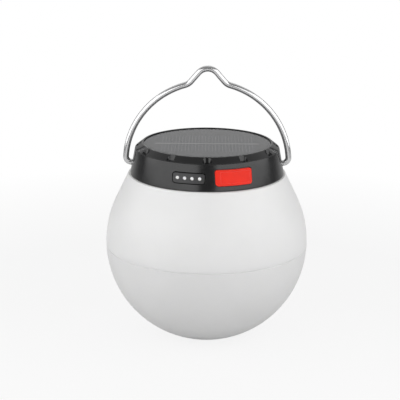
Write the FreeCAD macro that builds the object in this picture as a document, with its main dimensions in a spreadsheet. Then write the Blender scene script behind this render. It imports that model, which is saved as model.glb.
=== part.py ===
"""Solar camping lantern.

A frosted globe carries a dark round head. The head holds a solar panel with its bezel, a wire bail, a push
button with four charge lights, and a rubber cover over the charging socket. The lamps shine down into the
globe; the battery and the boards lie inside the head.

Millimetres. The origin is the centre of the flat foot, +Z is up, and the button and the socket face -Y.
An azimuth is measured from -Y towards +X.
"""
import FreeCAD
import Part
import Sketcher
import math
import os

SIZES = {
    # Globe, made of two shells that lap just below the equator.
    "globe_radius": 60.0,
    "globe_wall": 2.0,
    "foot_radius": 20.0,
    "neck_radius": 46.45,
    "neck_angle": 25.6,
    "neck_edge": 0.7,
    "flange_thickness": 2.0,
    "flange_width": 5.95,
    "seam_drop": 1.3,
    "seam_lap": 1.0,
    "seam_lip": 2.4,
    "seam_groove": 0.35,
    "seam_gap": 0.1,
    # Head: a drafted wall under a deck.
    "seal_thickness": 0.3,
    "seal_inset": 0.2,
    "head_ledge": 1.11,
    "head_wall": 2.2,
    "head_draft": 10.8,
    "housing_height": 14.9,
    "deck_thickness": 2.0,
    "head_edge": 0.25,
    "shoulder_edge": 0.35,
    # Bezel round the panel, with notches in its chamfer.
    "bezel_foot": 0.15,
    "bezel_inset": 0.35,
    "bezel_run": 4.15,
    "rim_width": 0.95,
    "rim_edge": 0.25,
    "notch_count": 12,
    "notch_width": 5.8,
    "notch_setback": 0.15,
    "notch_corner": 2.2,
    "notch_draft": 10.0,
    # Solar panel, from the deck up.
    "tape_thickness": 0.6,
    "tape_width": 9.0,
    "backing_thickness": 1.2,
    "cell_thickness": 0.25,
    "face_thickness": 0.8,
    "face_sink": 0.3,
    "panel_gap": 0.15,
    "cell_length": 56.0,
    "cell_width": 18.9,
    "cell_spacing": 1.4,
    "cell_shift": 2.9,
    "ribbon_overhang": 2.5,
    "panel_lead_y": 16.0,
    # Base plate of the head, clamped under the globe's flange.
    "base_gap": 0.3,
    "base_step": 2.0,
    "base_plate": 2.0,
    "clamp_thickness": 2.0,
    "clamp_width": 3.0,
    "column_radius": 3.0,
    "column_setback": 3.9,
    "column_count": 4,
    # Screws.
    "base_screw_radius": 1.3,
    "base_screw_head": 2.4,
    "base_screw_head_height": 1.7,
    "base_screw_bite": 5.5,
    "small_screw_radius": 0.9,
    "small_screw_head": 1.7,
    "small_screw_head_height": 1.2,
    "small_screw_bite": 1.6,
    "screw_fit": 0.03,
    "screw_clearance": 0.25,
    # Lamp board with two rings of lamps.
    "lamp_board_radius": 30.0,
    "lamp_board_thickness": 1.6,
    "lamp_board_gap": 0.3,
    "lamp_board_screw_ring": 27.0,
    "lamp_outer_ring": 21.0,
    "lamp_outer_count": 12,
    "lamp_inner_ring": 10.5,
    "lamp_inner_count": 6,
    "lamp_length": 3.5,
    "lamp_width": 2.8,
    "lamp_height": 0.75,
    "lamp_lead_y": 15.0,
    # Main board behind the button and the socket.
    "board_thickness": 1.6,
    "board_half_width": 21.0,
    "board_back": 9.0,
    "board_gap": 0.7,
    "post_radius": 2.3,
    "post_side": 18.0,
    "post_back": 12.5,
    "post_front": 28.0,
    "chip_side": 4.0,
    "chip_height": 0.9,
    "coil_side": 5.0,
    "coil_height": 2.6,
    "capacitor_length": 2.0,
    "capacitor_width": 1.25,
    "capacitor_height": 1.1,
    "capacitor_pitch": 2.6,
    "part_side": 9.5,
    "part_back": 18.0,
    # Battery.
    "battery_length": 40.0,
    "battery_width": 30.0,
    "battery_height": 8.0,
    "battery_corner": 1.5,
    "battery_front": 5.0,
    "battery_pad": 0.8,
    "pad_margin": 3.0,
    # Leads.
    "lead_radius": 0.55,
    "lead_spacing": 2.6,
    "lead_bend": 1.6,
    "lead_land": 3.0,
    "lead_hole": 2.6,
    # Push button with its charge lights and switch.
    "button_azimuth": -13.7,
    "button_height": 6.95,
    "button_width": 18.3,
    "button_tall": 5.5,
    "button_corner": 1.5,
    "button_gap": 0.5,
    "button_proud": 0.25,
    "button_travel": 0.8,
    "lip_width": 1.2,
    "lip_thickness": 1.0,
    "lip_gap": 0.3,
    "light_radius": 1.0,
    "light_pitch": 4.25,
    "light_proud": 0.08,
    "gauge_lamp_width": 1.6,
    "gauge_lamp_depth": 0.8,
    "gauge_lamp_setback": 1.2,
    "stem_width": 3.0,
    "stem_thickness": 1.3,
    "stem_rise": 1.85,
    "switch_width": 6.0,
    "switch_depth": 4.0,
    "switch_cap": 1.6,
    "switch_setback": 4.0,
    "plunger_radius": 0.6,
    "plunger_reach": 1.5,
    "plunger_hold": 1.2,
    "plunger_fit": 0.06,
    # Rubber cover and charging socket.
    "cover_azimuth": 20.24,
    "cover_bottom": 3.05,
    "cover_tall": 8.8,
    "cover_width": 21.65,
    "cover_corner": 1.5,
    "cover_proud": 1.0,
    "cover_recess": 0.7,
    "cover_gap": 0.4,
    "cover_lift": 0.3,
    "cover_anchor": 1.6,
    "hinge_slot": 0.3,
    "plug_depth": 0.9,
    "window_margin": 1.0,
    "window_side": 3.6,
    "plug_gap": 0.5,
    "plug_drop": 0.9,
    "peg_radius": 0.55,
    "peg_side": 8.0,
    "peg_tail": 1.2,
    "peg_fit": 0.05,
    "socket_width": 8.94,
    "socket_tall": 3.26,
    "socket_length": 7.4,
    "socket_shell": 0.3,
    "socket_setback": 0.4,
    "tongue_width": 6.7,
    "tongue_tall": 0.7,
    "tongue_setback": 0.6,
    # Bail.
    "wire_radius": 1.75,
    "bail_gap": 0.95,
    "pivot_height": 5.5,
    "pivot_clearance": 0.08,
    "pivot_grip": 6.0,
    "pivot_end_gap": 0.5,
    "pivot_cap": 1.2,
    "boss_radius": 3.1,
    "foot_bend": 3.3,
    "crown_rise": 7.9,
    "crown_radius": 7.0,
    "flank_angle": 49.0,
    "crown_bend": 7.0,
}

doc = FreeCAD.newDocument("SolarLantern")
sheet = doc.addObject("Spreadsheet::Sheet", "Sizes")
for row, (alias, number) in enumerate(SIZES.items(), start=1):
    sheet.set(f"A{row}", alias)
    sheet.set(f"B{row}", str(number))
    sheet.setAlias(f"B{row}", alias)
doc.recompute()


class Size:
    """A number of the sheet, or a formula of such numbers, with its value and its expression."""

    def __init__(self, value, text):
        self.value = float(value)
        self.text = text

    def __add__(self, other):
        other = as_size(other)
        return Size(self.value + other.value, f"({self.text} + {other.text})")

    def __sub__(self, other):
        other = as_size(other)
        return Size(self.value - other.value, f"({self.text} - {other.text})")

    def __mul__(self, other):
        other = as_size(other)
        return Size(self.value * other.value, f"({self.text} * {other.text})")

    def __truediv__(self, other):
        other = as_size(other)
        return Size(self.value / other.value, f"({self.text} / {other.text})")

    def __neg__(self):
        return Size(-self.value, f"(0 - {self.text})")


def as_size(number):
    return number if isinstance(number, Size) else Size(number, repr(number))


def root(size):
    return Size(math.sqrt(size.value), f"sqrt({size.text})")


def sine(size):
    return Size(math.sin(math.radians(size.value)), f"sin({size.text})")


def cosine(size):
    return Size(math.cos(math.radians(size.value)), f"cos({size.text})")


def tangent(size):
    return Size(math.tan(math.radians(size.value)), f"tan({size.text})")


class Sheet:
    """The sheet's numbers as sizes, by their aliases."""

    def __getattr__(self, alias):
        return Size(sheet.get(alias), f"Sizes.{alias}")


s = Sheet()
ZERO = as_size(0)
nodes = []


def node(part):
    nodes.append(part)
    return part


# Sketches and bodies


def plane(body, role):
    return next(feature for feature in body.Origin.OriginFeatures if feature.Role == role)


def place_point(sketch, geometry, end, x, y, fixed="xy"):
    """Ties one end of a sketch element to the sizes x and y."""
    for letter, kind, axis, size in (("x", "DistanceX", -2, x), ("y", "DistanceY", -1, y)):
        if letter not in fixed:
            continue
        if size.text == ZERO.text:
            sketch.addConstraint(Sketcher.Constraint("PointOnObject", geometry, end, axis))
            continue
        index = sketch.addConstraint(Sketcher.Constraint(kind, geometry, end, size.value))
        name = f"{letter}{geometry}_{end}"
        sketch.renameConstraint(index, name)
        sketch.setExpression(f"Constraints.{name}", size.text)


def draw(sketch, points, centres, closed=True):
    """Draws lines through the points, and an arc in place of side k where centres holds its centre."""
    points = [(as_size(x), as_size(y)) for x, y in points]
    sides = len(points) if closed else len(points) - 1
    ends = []
    for k in range(sides):
        (x0, y0), (x1, y1) = points[k], points[(k + 1) % len(points)]
        start = FreeCAD.Vector(x0.value, y0.value, 0)
        stop = FreeCAD.Vector(x1.value, y1.value, 0)
        if k not in centres:
            ends.append((sketch.addGeometry(Part.LineSegment(start, stop)), 1, 2))
            continue
        middle = FreeCAD.Vector(centres[k][0].value, centres[k][1].value, 0)
        circle = Part.Circle(middle, FreeCAD.Vector(0, 0, 1), (start - middle).Length)
        first = math.atan2(start.y - middle.y, start.x - middle.x)
        last = math.atan2(stop.y - middle.y, stop.x - middle.x)
        turn = (last - first) % (2 * math.pi)
        if turn <= math.pi:
            ends.append((sketch.addGeometry(Part.ArcOfCircle(circle, first, first + turn)), 1, 2))
        else:
            back = 2 * math.pi - turn
            ends.append((sketch.addGeometry(Part.ArcOfCircle(circle, last, last + back)), 2, 1))
    for k in range(sides if closed else sides - 1):
        here, after = ends[k], ends[(k + 1) % len(ends)]
        sketch.addConstraint(Sketcher.Constraint("Coincident", here[0], here[2], after[0], after[1]))
    for k, (x, y) in enumerate(points):
        geometry, end = (ends[k][0], ends[k][1]) if k < sides else (ends[k - 1][0], ends[k - 1][2])
        before = (k - 1) % len(points) if closed else k - 1
        fixed = "xy"
        if before in centres:
            # The arc's radius is already given by its start, so one number fixes where it stops.
            steep = abs(y.value - centres[before][1].value) > abs(x.value - centres[before][0].value)
            fixed = "x" if steep else "y"
        place_point(sketch, geometry, end, x, y, fixed)
    for k, (x, y) in centres.items():
        place_point(sketch, ends[k][0], 3, x, y)


def new_sketch(body, name, role, offset=None):
    sketch = body.newObject("Sketcher::SketchObject", name)
    sketch.AttachmentSupport = [(plane(body, role), "")]
    sketch.MapMode = "FlatFace"
    if offset is not None:
        sketch.setExpression("AttachmentOffset.Base.z", offset.text)
    return sketch


def rounded_rectangle(x0, x1, y0, y1, corner):
    """The points and arc centres of a rectangle with four round corners, anticlockwise."""
    points = [
        (x0 + corner, y0), (x1 - corner, y0), (x1, y0 + corner), (x1, y1 - corner),
        (x1 - corner, y1), (x0 + corner, y1), (x0, y1 - corner), (x0, y0 + corner),
    ]
    centres = {
        1: (x1 - corner, y0 + corner),
        3: (x1 - corner, y1 - corner),
        5: (x0 + corner, y1 - corner),
        7: (x0 + corner, y0 + corner),
    }
    return points, centres


def turned(name, points, centres=None):
    """A body turned round the Z axis from points (radius, height)."""
    body = doc.addObject("PartDesign::Body", name)
    sketch = new_sketch(body, f"{name}_profile", "XZ_Plane")
    draw(sketch, points, centres or {})
    turn = body.newObject("PartDesign::Revolution", f"{name}_turn")
    turn.Profile = sketch
    turn.ReferenceAxis = (sketch, ["V_Axis"])
    turn.Angle = 360
    doc.recompute()
    return body


def ring(name, inner, outer, low, high):
    return turned(name, [(inner, low), (outer, low), (outer, high), (inner, high)])


def round_circles(body, radius, circles):
    """Rounds the circular edges of a turned body, each found by its radius and height."""
    names = []
    for index, edge in enumerate(body.Shape.Edges, start=1):
        curve = edge.Curve
        if not isinstance(curve, Part.Circle):
            continue
        for ring_radius, height in circles:
            near = abs(curve.Radius - ring_radius.value) < 1e-4 and abs(curve.Center.z - height.value) < 1e-4
            if near:
                names.append(f"Edge{index}")
    if len(names) != len(circles):
        raise ValueError(f"{body.Label}: edges to round not found")
    sharp = body.Tip
    fillet = body.newObject("PartDesign::Fillet", f"{body.Name}_round")
    fillet.Base = (sharp, names)
    fillet.setExpression("Radius", radius.text)
    doc.recompute()


def bar(name, x0, x1, z0, z1, near, far, corner, azimuth=None):
    """A bar with round edges that runs outward from near to far, turned to its azimuth."""
    body = doc.addObject("PartDesign::Body", name)
    sketch = new_sketch(body, f"{name}_section", "XZ_Plane", near)
    points, centres = rounded_rectangle(x0, x1, z0, z1, corner)
    draw(sketch, points, centres)
    pad = body.newObject("PartDesign::Pad", f"{name}_pad")
    pad.Profile = sketch
    pad.setExpression("Length", (far - near).text)
    if azimuth is not None:
        body.setExpression("Placement.Rotation.Angle", azimuth.text)
    doc.recompute()
    return body


def plate(name, x0, x1, y0, y1, low, high, corner):
    """An upright plate with round corners, seen from above."""
    body = doc.addObject("PartDesign::Body", name)
    sketch = new_sketch(body, f"{name}_outline", "XY_Plane", low)
    points, centres = rounded_rectangle(x0, x1, y0, y1, corner)
    draw(sketch, points, centres)
    pad = body.newObject("PartDesign::Pad", f"{name}_pad")
    pad.Profile = sketch
    pad.setExpression("Length", (high - low).text)
    doc.recompute()
    return body


# Primitives and booleans


def bind_place(part, x, y, z, azimuth=None):
    """Puts a primitive at x, y, z of a frame that is turned to the azimuth."""
    x, y, z = as_size(x), as_size(y), as_size(z)
    if azimuth is not None:
        part.setExpression("Placement.Rotation.Angle", azimuth.text)
        x, y = x * cosine(azimuth) - y * sine(azimuth), x * sine(azimuth) + y * cosine(azimuth)
    for letter, size in (("x", x), ("y", y), ("z", z)):
        part.setExpression(f"Placement.Base.{letter}", size.text)


def box(name, x0, x1, y0, y1, z0, z1, azimuth=None):
    part = doc.addObject("Part::Box", name)
    part.setExpression("Length", (x1 - x0).text)
    part.setExpression("Width", (y1 - y0).text)
    part.setExpression("Height", (z1 - z0).text)
    bind_place(part, x0, y0, z0, azimuth)
    return part


def rod(name, radius, x, y, low, high):
    """An upright cylinder."""
    part = doc.addObject("Part::Cylinder", name)
    part.setExpression("Radius", radius.text)
    part.setExpression("Height", (high - low).text)
    bind_place(part, x, y, low)
    return part


def level_rod(name, radius, x, z, near, far, azimuth):
    """A level cylinder that runs outward from near to far, at x beside the azimuth."""
    part = doc.addObject("Part::Cylinder", name)
    part.setExpression("Radius", radius.text)
    part.setExpression("Height", (far - near).text)
    outward = FreeCAD.Rotation(FreeCAD.Vector(1, 0, 0), 90)
    part.Placement.Rotation = FreeCAD.Rotation(FreeCAD.Vector(0, 0, 1), azimuth.value) * outward
    x, y = as_size(x), -near
    part.setExpression("Placement.Base.x", (x * cosine(azimuth) - y * sine(azimuth)).text)
    part.setExpression("Placement.Base.y", (x * sine(azimuth) + y * cosine(azimuth)).text)
    part.setExpression("Placement.Base.z", z.text)
    return part


def fuse(name, parts):
    result = doc.addObject("Part::MultiFuse", name)
    result.Shapes = parts
    return result


def cut(name, base, tools):
    result = doc.addObject("Part::Cut", name)
    result.Base = base
    result.Tool = tools[0] if len(tools) == 1 else fuse(f"{name}_cutters", tools)
    return result


def common(name, first, second):
    result = doc.addObject("Part::MultiCommon", name)
    result.Shapes = [first, second]
    return result


def group(name, parts):
    result = doc.addObject("Part::Compound", name)
    result.Links = parts
    return result


def screw(name, radius, head, head_height, x, y, seat, tip):
    """A screw driven upward: its head hangs below the seat."""
    shank = rod(f"{name}_shank", radius, x, y, seat, tip)
    cap = rod(f"{name}_cap", head, x, y, seat - head_height, seat)
    return fuse(name, [shank, cap])


def circle_places(ring_radius, count, first):
    """Places round the axis, as sizes x and y, from the azimuth first."""
    places = []
    for k in range(count):
        azimuth = as_size(first + 360.0 * k / count)
        places.append((ring_radius * sine(azimuth), -(ring_radius * cosine(azimuth)), azimuth))
    return places


# Levels and radii that several pieces share

centre_z = root(s.globe_radius * s.globe_radius - s.foot_radius * s.foot_radius)
neck_cos = cosine(s.neck_angle)
neck_sin = sine(s.neck_angle)
neck_rise = (s.globe_radius - s.neck_radius * neck_cos) / neck_sin
neck_z = centre_z + neck_rise
inner_radius = s.globe_radius - s.globe_wall
flange_bore = s.neck_radius - s.flange_width

head_radius = s.neck_radius - s.head_ledge
head_z = neck_z + s.seal_thickness
deck_z = head_z + s.housing_height
under_deck = deck_z - s.deck_thickness
shoulder_radius = head_radius - s.housing_height * tangent(s.head_draft)
rim_radius = shoulder_radius - s.bezel_run
panel_opening = rim_radius - s.rim_width
panel_radius = panel_opening - s.panel_gap

backing_z = deck_z + s.tape_thickness
cell_z = backing_z + s.backing_thickness
face_z = cell_z + s.cell_thickness + s.face_thickness
rim_z = face_z + s.face_sink

base_top = neck_z + s.base_step
base_bottom = neck_z - s.flange_thickness - s.clamp_thickness
base_radius = flange_bore - s.base_gap
base_ceiling = base_top - s.base_plate
column_ring = base_radius - s.column_setback
screw_hole = s.base_screw_radius + s.screw_fit
small_hole = s.small_screw_radius + s.screw_fit

pivot_z = head_z + s.pivot_height
button_z = head_z + s.button_height
cover_low = head_z + s.cover_bottom
cover_high = cover_low + s.cover_tall
hinge_z = cover_high - s.cover_anchor
window_low = cover_low + s.window_margin
window_high = hinge_z - s.window_margin
socket_z = (window_low + window_high) / 2
board_top = socket_z - s.socket_tall / 2
board_low = board_top - s.board_thickness


def wall_radius(z):
    """The head's outer radius at a height."""
    return head_radius - (z - head_z) * tangent(s.head_draft)


def wall_ring(name, low, high, inner, outer):
    """A ring that follows the head's wall, between two offsets from its outer face."""
    return turned(name, [
        (wall_radius(low) + inner, low), (wall_radius(low) + outer, low),
        (wall_radius(high) + outer, high), (wall_radius(high) + inner, high),
    ])


inside_wall = -s.head_wall
lip_face = inside_wall - s.lip_gap
lip_back = lip_face - s.lip_thickness
board_radius = wall_radius(board_top) + lip_back - s.button_travel - s.board_gap
reach = head_radius + s.cover_proud * 4

# Globe

axis_centre = (ZERO, centre_z)
seam_z = centre_z - s.seam_drop
lap_radius = s.globe_radius - s.seam_lap
lap_top = seam_z + s.seam_lip + s.seam_gap


def shell_radius(radius, z):
    """How far a shell of the globe stands from its axis at a height."""
    rise = z - centre_z
    return root(radius * radius - rise * rise)


seam_low = seam_z - s.seam_groove
seam_high = seam_z + s.seam_groove
lip_radius = shell_radius(inner_radius, seam_z)
node(turned("globe_lower", [
    (ZERO, ZERO), (s.foot_radius, ZERO),
    (shell_radius(s.globe_radius, seam_low), seam_low), (s.globe_radius - s.seam_groove, seam_z),
    (lap_radius, seam_z), (lap_radius, seam_z + s.seam_lip),
    (lip_radius, seam_z + s.seam_lip), (lip_radius, seam_z),
    (shell_radius(inner_radius, s.globe_wall), s.globe_wall), (ZERO, s.globe_wall),
], {1: axis_centre, 7: axis_centre}))

flange_low = neck_rise - s.flange_thickness
globe_upper = node(turned("globe_upper", [
    (shell_radius(s.globe_radius, seam_high), seam_high),
    (s.globe_radius * neck_cos, centre_z + s.globe_radius * neck_sin),
    (s.neck_radius, neck_z), (flange_bore, neck_z), (flange_bore, neck_z - s.flange_thickness),
    ((inner_radius - flange_low * neck_sin) / neck_cos, neck_z - s.flange_thickness),
    (inner_radius * neck_cos, centre_z + inner_radius * neck_sin),
    (shell_radius(inner_radius, lap_top), lap_top), (lap_radius + s.seam_gap, lap_top),
    (lap_radius + s.seam_gap, seam_z), (s.globe_radius - s.seam_groove, seam_z),
], {0: axis_centre, 6: axis_centre}))
round_circles(globe_upper, s.neck_edge, [(s.neck_radius, neck_z)])

node(ring("neck_seal", head_radius - s.head_wall, head_radius - s.seal_inset, neck_z, head_z))

# Head housing

shell = turned("housing_shell", [
    (head_radius, head_z), (shoulder_radius, deck_z), (ZERO, deck_z), (ZERO, under_deck),
    (wall_radius(under_deck) - s.head_wall, under_deck), (head_radius - s.head_wall, head_z),
])
round_circles(shell, s.head_edge, [(head_radius, head_z)])
round_circles(shell, s.shoulder_edge, [(shoulder_radius, deck_z)])

column_places = circle_places(column_ring, int(SIZES["column_count"]), 45.0)
columns = []
column_holes = []
for number, (x, y, _) in enumerate(column_places, start=1):
    columns.append(rod(f"column_{number}", s.column_radius, x, y, base_top, deck_z - s.deck_thickness / 2))
    tip = base_top + s.base_screw_bite + s.screw_clearance
    column_holes.append(rod(f"column_hole_{number}", screw_hole, x, y, base_top, tip))

pivot_wall = wall_radius(pivot_z)
wire_end = pivot_wall - s.pivot_grip
bosses = []
pivot_holes = []
for side, quarter in (("left", -90), ("right", 90)):
    azimuth = as_size(quarter)
    bosses.append(level_rod(f"boss_{side}", s.boss_radius, ZERO, pivot_z,
                            wire_end - s.pivot_end_gap - s.pivot_cap, pivot_wall - s.head_wall / 2, azimuth))
    pivot_holes.append(level_rod(f"pivot_hole_{side}", s.wire_radius + s.pivot_clearance, ZERO, pivot_z,
                                 wire_end - s.pivot_end_gap, reach, azimuth))

button_half = s.button_width / 2
button_low = button_z - s.button_tall / 2
button_high = button_z + s.button_tall / 2
window_near = wall_radius(cover_high) - s.head_wall * 3
button_window = bar("button_window", -(button_half + s.button_gap), button_half + s.button_gap,
                    button_low - s.button_gap, button_high + s.button_gap, window_near, reach,
                    s.button_corner + s.button_gap, s.button_azimuth)

cover_half = s.cover_width / 2
recess_ring = wall_ring("recess_ring", head_z, deck_z, -s.cover_recess, s.cover_proud * 2)
recess_bar = bar("recess_bar", -(cover_half + s.cover_gap), cover_half + s.cover_gap,
                 cover_low - s.cover_gap, cover_high + s.cover_gap, window_near, reach,
                 s.cover_corner + s.cover_gap, s.cover_azimuth)
cover_recess = common("cover_recess_space", recess_ring, recess_bar)
window_half = cover_half - s.window_side
socket_window = bar("socket_window", -window_half, window_half, window_low, window_high, window_near, reach,
                    s.cover_corner, s.cover_azimuth)
peg_z = cover_high - s.cover_anchor / 2
peg_holes = []
for side, x in (("left", -s.peg_side), ("right", s.peg_side)):
    peg_holes.append(level_rod(f"peg_hole_{side}", s.peg_radius + s.peg_fit, x, peg_z, window_near, reach,
                               s.cover_azimuth))

panel_lead_hole = rod("panel_lead_hole", s.lead_hole, ZERO, -s.panel_lead_y, under_deck - s.deck_thickness,
                      deck_z + s.deck_thickness)
housing_body = fuse("housing_body", [shell] + columns + bosses)
housing = node(cut("head_housing", housing_body, column_holes + pivot_holes + peg_holes + [
    button_window, cover_recess, socket_window, panel_lead_hole,
]))

# Bezel with its notches

bezel_radius = shoulder_radius - s.bezel_inset
bezel_top = deck_z + s.bezel_foot
bezel = node(turned("solar_bezel", [
    (panel_opening, deck_z), (bezel_radius, deck_z), (bezel_radius, bezel_top), (rim_radius, rim_z),
    (panel_opening, rim_z),
]))
round_circles(bezel, s.rim_edge, [(rim_radius, rim_z), (panel_opening, rim_z)])
notch_back = rim_radius + s.notch_setback
notch_half = s.notch_width / 2
notch_sketch = new_sketch(bezel, "notch_outline", "XY_Plane", rim_z)
draw(notch_sketch, [
    (notch_half, -head_radius), (notch_half, -(notch_back + s.notch_corner)),
    (notch_half - s.notch_corner, -notch_back), (s.notch_corner - notch_half, -notch_back),
    (-notch_half, -(notch_back + s.notch_corner)), (-notch_half, -head_radius),
], {
    1: (notch_half - s.notch_corner, -(notch_back + s.notch_corner)),
    3: (s.notch_corner - notch_half, -(notch_back + s.notch_corner)),
})
notch = bezel.newObject("PartDesign::Pocket", "notch")
notch.Profile = notch_sketch
notch.setExpression("Length", (rim_z - bezel_top).text)
notch.setExpression("TaperAngle", (-s.notch_draft).text)
notches = bezel.newObject("PartDesign::PolarPattern", "notches")
notches.Originals = [notch]
notches.Axis = (notch_sketch, ["N_Axis"])
notches.Angle = 360
notches.setExpression("Occurrences", s.notch_count.text)
bezel.Tip = notches
doc.recompute()

# Solar panel

node(ring("panel_tape", panel_radius - s.tape_width, panel_radius, deck_z, backing_z))
node(rod("solar_backing", panel_radius, ZERO, ZERO, backing_z, cell_z))
cell_half = s.cell_length / 2
cell_top = cell_z + s.cell_thickness
gap_half = s.cell_spacing / 2
ribbon_half = cell_half + s.ribbon_overhang
cells = []
for row, near in (("front", -(s.cell_shift + gap_half + s.cell_width)), ("back", gap_half - s.cell_shift)):
    cells.append(box(f"cell_{row}", -cell_half, cell_half, near, near + s.cell_width, cell_z, cell_top))
cell_group = node(group("solar_cells", cells))
ribbon = node(box("cell_ribbon", -ribbon_half, ribbon_half, -(s.cell_shift + gap_half), gap_half - s.cell_shift,
                  cell_z, cell_top))
face_disc = rod("face_disc", panel_radius, ZERO, ZERO, cell_z, face_z)
face_cells = fuse("face_cells", cells + [ribbon])
node(cut("solar_face", face_disc, [face_cells]))

# Base plate of the head, with posts for the main board

post_places = [
    (-s.post_side, -s.post_back),
    (s.post_side, -s.post_back),
    (ZERO, -s.post_front),
]
base_disc = turned("base_disc", [
    (ZERO, base_ceiling), (s.lamp_board_radius + s.lamp_board_gap, base_ceiling),
    (s.lamp_board_radius + s.lamp_board_gap, base_bottom), (flange_bore + s.clamp_width, base_bottom),
    (flange_bore + s.clamp_width, base_bottom + s.clamp_thickness),
    (base_radius, base_bottom + s.clamp_thickness), (base_radius, base_top), (ZERO, base_top),
])
posts = []
base_holes = [rod("lamp_lead_hole", s.lead_hole, ZERO, -s.lamp_lead_y, base_bottom, board_top)]
for number, (x, y) in enumerate(post_places, start=1):
    posts.append(rod(f"post_{number}", s.post_radius, x, y, base_top - s.base_plate / 2, board_low))
    base_holes.append(rod(f"post_hole_{number}", small_hole, x, y,
                          board_low - s.small_screw_bite - s.screw_clearance, board_top))
for number, (x, y, _) in enumerate(column_places, start=1):
    base_holes.append(rod(f"base_hole_{number}", s.base_screw_radius + s.screw_clearance, x, y,
                          base_bottom - s.base_plate, base_top + s.base_plate))
lamp_screw_places = circle_places(s.lamp_board_screw_ring, 3, 60.0)
for number, (x, y, _) in enumerate(lamp_screw_places, start=1):
    base_holes.append(rod(f"lamp_screw_hole_{number}", small_hole, x, y, base_bottom,
                          base_ceiling + s.small_screw_bite + s.screw_clearance / 2))
base_body = fuse("base_body", [base_disc] + posts)
node(cut("head_base", base_body, base_holes))

node(group("base_screws", [
    screw(f"base_screw_{number}", s.base_screw_radius, s.base_screw_head, s.base_screw_head_height, x, y,
          base_bottom, base_top + s.base_screw_bite)
    for number, (x, y, _) in enumerate(column_places, start=1)
]))

# Lamp board

lamp_board_low = base_ceiling - s.lamp_board_thickness
lamp_disc = rod("lamp_disc", s.lamp_board_radius, ZERO, ZERO, lamp_board_low, base_ceiling)
lamp_board_holes = [
    rod(f"lamp_board_hole_{number}", s.small_screw_radius + s.screw_clearance, x, y, base_bottom, base_top)
    for number, (x, y, _) in enumerate(lamp_screw_places, start=1)
]
node(cut("lamp_board", lamp_disc, lamp_board_holes))
node(group("lamp_board_screws", [
    screw(f"lamp_screw_{number}", s.small_screw_radius, s.small_screw_head, s.small_screw_head_height, x, y,
          lamp_board_low, base_ceiling + s.small_screw_bite)
    for number, (x, y, _) in enumerate(lamp_screw_places, start=1)
]))
lamp_boxes = []
for name, ring_radius, count in (
    ("outer", s.lamp_outer_ring, int(SIZES["lamp_outer_count"])),
    ("inner", s.lamp_inner_ring, int(SIZES["lamp_inner_count"])),
):
    for number, (_, _, azimuth) in enumerate(circle_places(ring_radius, count, 0.0), start=1):
        lamp_boxes.append(box(f"lamp_{name}_{number}", -(s.lamp_length / 2), s.lamp_length / 2,
                              -(ring_radius + s.lamp_width / 2), s.lamp_width / 2 - ring_radius,
                              lamp_board_low - s.lamp_height, lamp_board_low, azimuth))
node(group("lamp_leds", lamp_boxes))

# Main board and what it carries

board_disc = rod("board_disc", board_radius, ZERO, ZERO, board_low, board_top)
board_block = box("board_block", -s.board_half_width, s.board_half_width, -board_radius, -s.board_back,
                  board_low, board_top)
board_blank = common("board_blank", board_disc, board_block)
board_holes = [
    rod(f"board_hole_{number}", s.small_screw_radius + s.screw_clearance, x, y, base_top, deck_z)
    for number, (x, y) in enumerate(post_places, start=1)
]
node(cut("main_board", board_blank, board_holes))
board_screws = []
for number, (x, y) in enumerate(post_places, start=1):
    shank = rod(f"board_screw_shank_{number}", s.small_screw_radius, x, y, board_low - s.small_screw_bite,
                board_top)
    cap = rod(f"board_screw_cap_{number}", s.small_screw_head, x, y, board_top,
              board_top + s.small_screw_head_height)
    board_screws.append(fuse(f"board_screw_{number}", [shank, cap]))
node(group("board_screws", board_screws))


def block_on_board(name, length, width, height, x, y):
    return box(name, x - length / 2, x + length / 2, y - width / 2, y + width / 2, board_top, board_top + height)


node(block_on_board("charge_chip", s.chip_side, s.chip_side, s.chip_height, -s.part_side, -s.part_back))
node(block_on_board("boost_coil", s.coil_side, s.coil_side, s.coil_height, s.part_side, -s.part_back))
node(group("board_capacitors", [
    block_on_board(f"capacitor_{number}", s.capacitor_width, s.capacitor_length, s.capacitor_height,
                   s.capacitor_pitch * (number - 2.5) - s.part_side, -(s.part_back + s.coil_side))
    for number in range(1, 5)
]))

# Battery on its pad

battery_low = base_top + s.battery_pad
battery_half = s.battery_length / 2
battery_back = s.battery_width - s.battery_front
node(plate("battery_pad", s.pad_margin - battery_half, battery_half - s.pad_margin,
           s.pad_margin - s.battery_front, battery_back - s.pad_margin, base_top, battery_low, s.battery_corner))
node(plate("battery_cell", -battery_half, battery_half, -s.battery_front, battery_back, battery_low,
           battery_low + s.battery_height, s.battery_corner))

# Leads, in pairs

lead_half = s.lead_spacing / 2
node(group("solar_leads", [
    rod(f"solar_lead_{side}", s.lead_radius, x, -s.panel_lead_y, board_top, backing_z)
    for side, x in (("left", -lead_half), ("right", lead_half))
]))
node(group("lamp_leads", [
    rod(f"lamp_lead_{side}", s.lead_radius, x, -s.lamp_lead_y, base_ceiling, board_low)
    for side, x in (("left", -lead_half), ("right", lead_half))
]))


def battery_lead(name, x):
    """A lead that leaves the battery's front, bends and comes down on the main board."""
    top = battery_low + s.battery_height - s.lead_bend
    stop = -(s.board_back + s.lead_land)
    body = doc.addObject("PartDesign::Body", name)
    route = new_sketch(body, f"{name}_route", "YZ_Plane", x)
    draw(route, [
        (-s.battery_front, top), (stop + s.lead_bend, top), (stop, top - s.lead_bend), (stop, board_top),
    ], {1: (stop + s.lead_bend, top - s.lead_bend)}, closed=False)
    section = new_sketch(body, f"{name}_section", "XZ_Plane", s.battery_front)
    draw_circle(section, x, top, s.lead_radius)
    sweep(body, name, section, route)
    return body


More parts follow.
